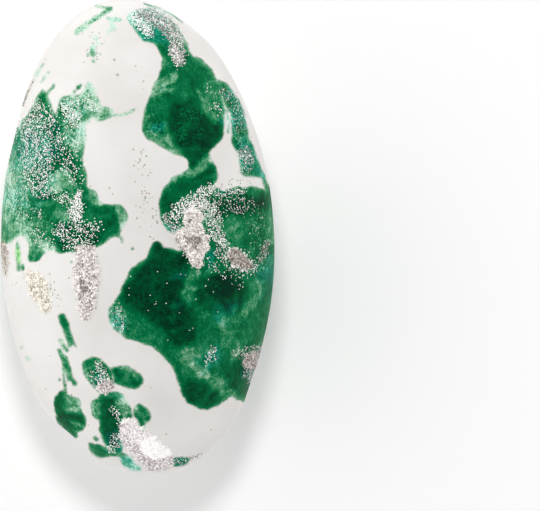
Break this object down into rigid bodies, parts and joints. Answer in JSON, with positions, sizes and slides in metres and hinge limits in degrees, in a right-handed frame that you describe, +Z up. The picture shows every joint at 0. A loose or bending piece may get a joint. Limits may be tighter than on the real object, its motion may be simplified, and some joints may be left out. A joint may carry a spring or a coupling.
{
  "type": "sugared almond",
  "caption": "Egg-shaped sweet: an almond under a hard white sugar shell, stained green in blots and dusted with silver, lying on its flatter side.",
  "frame": {"origin": "on the ground under the middle of the sweet's bounding box", "axes": "+Y along the length towards the narrow end, +X across the shown face to the right, +Z up through the shown face, the shortest way through"},
  "size_m": [0.0172, 0.0298, 0.0151],
  "materials": {
    "sugar_shell": "hard panned sugar with a satin polish, white, stained in blots of dark to pale green",
    "silver_dust": "fine edible silver flakes stuck in the dye, dull and slightly pink, some champagne"
  },
  "bodies": {
    "root": {"sugared_almond": "sugar_shell"}
  },
  "joints": []
}
